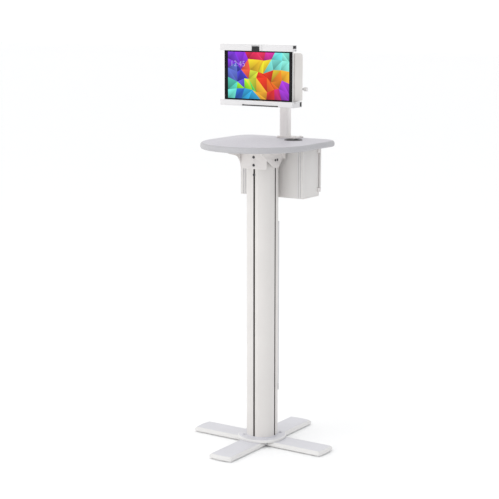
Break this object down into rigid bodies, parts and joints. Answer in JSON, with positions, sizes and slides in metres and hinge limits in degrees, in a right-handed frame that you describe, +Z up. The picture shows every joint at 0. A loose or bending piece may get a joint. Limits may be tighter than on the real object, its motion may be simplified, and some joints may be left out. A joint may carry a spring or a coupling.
{
  "type": "touchscreen kiosk",
  "caption": "Free-standing tablet kiosk: cross base, round slotted column, small worktop with a storage box under it, and a tilting sprung holder with a tablet.",
  "frame": {"origin": "on the floor, on the column's axis, which is the middle of the base's footprint", "axes": "+Z up; the front of the kiosk, where the user stands, faces -Y; +X is the kiosk's right seen from the front"},
  "size_m": [0.498, 0.498, 1.3015],
  "materials": {
    "white_paint": "satin powder coat, fine texture",
    "rail_paint": "white powder-coated extrusion",
    "column_finish": "white powder-coated extrusion",
    "laminate": "pale grey laminate on board, moulded edge",
    "zinc_steel": "zinc plated",
    "rubber": "matt black",
    "black_plastic": "moulded, fine grain",
    "white_plastic": "moulded, satin",
    "grey_plastic": "moulded, satin",
    "anodised_aluminium": "clear anodised",
    "screen_glass": "black-bordered cover glass",
    "display": null
  },
  "bodies": {
    "root": {"leg_front": "white_paint", "leg_back": "white_paint", "leg_left": "white_paint", "leg_right": "white_paint", "hub_plate": "white_paint", "front_bracket": "white_paint", "left_side_bracket": "white_paint", "right_side_bracket": "white_paint", "box_body": "white_paint", "post_foot_plate": "white_paint", "post_tube": "white_paint", "post_clevis": "white_paint", "column": "column_finish", "worktop_board": "laminate", "hub_block": "zinc_steel", "hub_bolt_front_left": "zinc_steel", "hub_bolt_front_right": "zinc_steel", "hub_bolt_rear_left": "zinc_steel", "hub_bolt_rear_right": "zinc_steel", "front_screw_upper": "zinc_steel", "front_screw_lower": "zinc_steel", "slot_stop": "zinc_steel", "right_side_screw_front": "zinc_steel", "right_side_screw_rear": "zinc_steel", "door_hinge_pin": "zinc_steel", "foot_pad_front": "rubber", "foot_pad_back": "rubber", "foot_pad_left": "rubber", "foot_pad_right": "rubber", "cable_bushing": "rubber", "grommet_ring": "black_plastic", "power_adapter": "black_plastic", "raceway_channel": "white_plastic", "raceway_cover": "white_plastic", "raceway_end_cap": "grey_plastic"},
    "box_door": {"box_door": "white_paint", "lock_body": "zinc_steel"},
    "door_lock": {"lock_barrel": "zinc_steel"},
    "grommet_cap": {"grommet_cap": "black_plastic"},
    "tilt_knob": {"tilt_bolt": "zinc_steel", "tilt_knob": "white_plastic"},
    "top_jaw": {"top_jaw": "rail_paint", "jaw_carriage": "grey_plastic", "guide_rod_left": "zinc_steel", "guide_rod_right": "zinc_steel", "rod_crossbar": "grey_plastic"},
    "jaw_latch": {"jaw_latch": "black_plastic"},
    "power_key": {"power_key": "white_plastic"},
    "volume_key": {"volume_key": "white_plastic"},
    "tilt_head": {"tilt_lug": "white_paint", "back_housing": "white_plastic", "back_plate": "anodised_aluminium", "rod_guide": "grey_plastic", "jaw_spring": "zinc_steel", "bottom_tray": "rail_paint", "tray_strip": "rubber", "screen_glass": "screen_glass", "tablet_back_cover": "white_plastic", "display_panel": "display", "tablet_battery": "grey_plastic"}
  },
  "joints": [
    {"name": "box_door_hinge", "type": "hinge", "parent": "root", "child": "box_door", "pos_m": [0.1225, 0.153, 0.893], "axis": [0, 0, -1], "range_deg": [0, 110]},
    {"name": "door_lock_turn", "type": "hinge", "parent": "box_door", "child": "door_lock", "pos_m": [-0.098, 0.15, 0.893], "axis": [0, 1, 0], "range_deg": [0, 90]},
    {"name": "grommet_cap_turn", "type": "hinge", "parent": "root", "child": "grommet_cap", "pos_m": [0.062, 0.086, 0.994], "axis": [0, 0, 1], "continuous": true},
    {"name": "head_tilt", "type": "hinge", "parent": "root", "child": "tilt_head", "pos_m": [0, 0.075, 1.16], "axis": [-1, 0, 0], "range_deg": [-10, 30]},
    {"name": "tilt_knob_turn", "type": "hinge", "parent": "root", "child": "tilt_knob", "pos_m": [0.05, 0.075, 1.16], "axis": [1, 0, 0], "continuous": true},
    {"name": "jaw_slide", "type": "slide", "parent": "tilt_head", "child": "top_jaw", "axis": [0, 0, 1], "range_m": [0, 0.02], "stiffness_N_per_m": 400, "springref_m": -0.02, "deforming": ["jaw_spring"]},
    {"name": "jaw_latch_slide", "type": "slide", "parent": "top_jaw", "child": "jaw_latch", "axis": [0, 0, 1], "range_m": [0, 0.003], "stiffness_N_per_m": 300, "springref_m": -0.002},
    {"name": "power_key_press", "type": "slide", "parent": "tilt_head", "child": "power_key", "axis": [1, 0, 0], "range_m": [0, 0.0004], "stiffness_N_per_m": 800, "springref_m": -0.0002},
    {"name": "volume_key_press", "type": "slide", "parent": "tilt_head", "child": "volume_key", "axis": [1, 0, 0], "range_m": [0, 0.0004], "stiffness_N_per_m": 800, "springref_m": -0.0002}
  ]
}
